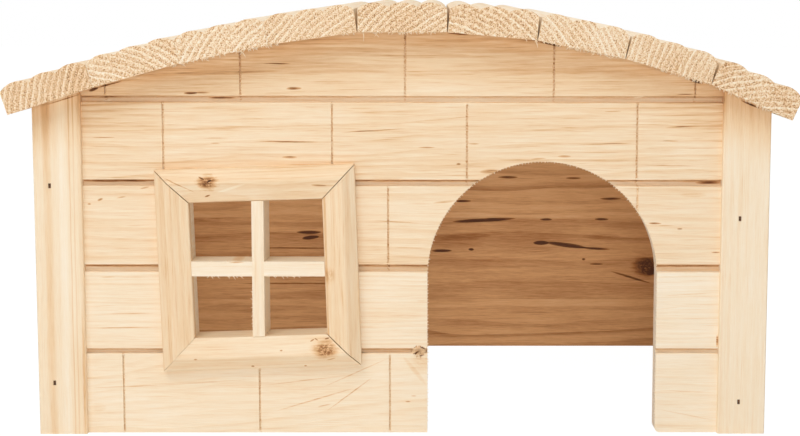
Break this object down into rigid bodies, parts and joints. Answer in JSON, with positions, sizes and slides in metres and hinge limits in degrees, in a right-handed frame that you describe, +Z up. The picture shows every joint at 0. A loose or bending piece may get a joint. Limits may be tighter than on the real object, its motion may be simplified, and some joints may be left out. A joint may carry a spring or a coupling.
{
  "type": "rodent hut",
  "caption": "Small plank hut for pet rodents with an arched doorway, a barred square window, corner posts and a curved roof of reeded boards; open underneath.",
  "frame": {"origin": "on the ground, under the middle of the roof's outline", "axes": "+X to the right seen from the front, along the wall with the doorway; +Y from the front to the back; +Z up"},
  "size_m": [0.3942, 0.26, 0.2178],
  "materials": {
    "front_planks": "planed bare softwood",
    "posts": "planed bare softwood",
    "battens": "sawn bare softwood",
    "side_boards": "planed bare softwood",
    "rear_boards": "planed bare softwood",
    "window": "planed bare softwood",
    "roof": "reeded bare softwood, sawn ends",
    "brads": "dull dark wire"
  },
  "bodies": {
    "root": {"front_plank_bottom_left": "front_planks", "front_plank_bottom_right": "front_planks", "front_plank_second_left": "front_planks", "front_plank_second_right": "front_planks", "front_plank_third_left": "front_planks", "front_plank_third_right": "front_planks", "front_plank_lintel": "front_planks", "front_plank_gable": "front_planks", "corner_post_left": "posts", "corner_post_right": "posts", "corner_batten_left": "battens", "corner_batten_right": "battens", "side_board_left_1": "side_boards", "side_board_left_2": "side_boards", "side_board_left_3": "side_boards", "side_board_left_4": "side_boards", "side_board_right_1": "side_boards", "side_board_right_2": "side_boards", "side_board_right_3": "side_boards", "side_board_right_4": "side_boards", "rear_board_1": "rear_boards", "rear_board_2": "rear_boards", "rear_board_3": "rear_boards", "rear_board_4": "rear_boards", "rear_board_gable": "rear_boards", "window_moulding_top": "window", "window_moulding_left": "window", "window_moulding_bottom": "window", "window_moulding_right": "window", "glazing_bar_upright": "window", "glazing_bar_cross": "window", "roof_board_1": "roof", "roof_board_2": "roof", "roof_board_3": "roof", "roof_board_4": "roof", "roof_board_5": "roof", "roof_board_6": "roof", "roof_board_7": "roof", "roof_board_8": "roof", "roof_board_9": "roof", "post_brads": "brads", "batten_brads": "brads", "rear_wall_brads": "brads", "window_frame_brads": "brads", "roof_brads_front": "brads", "roof_brads_rear": "brads"}
  },
  "joints": []
}
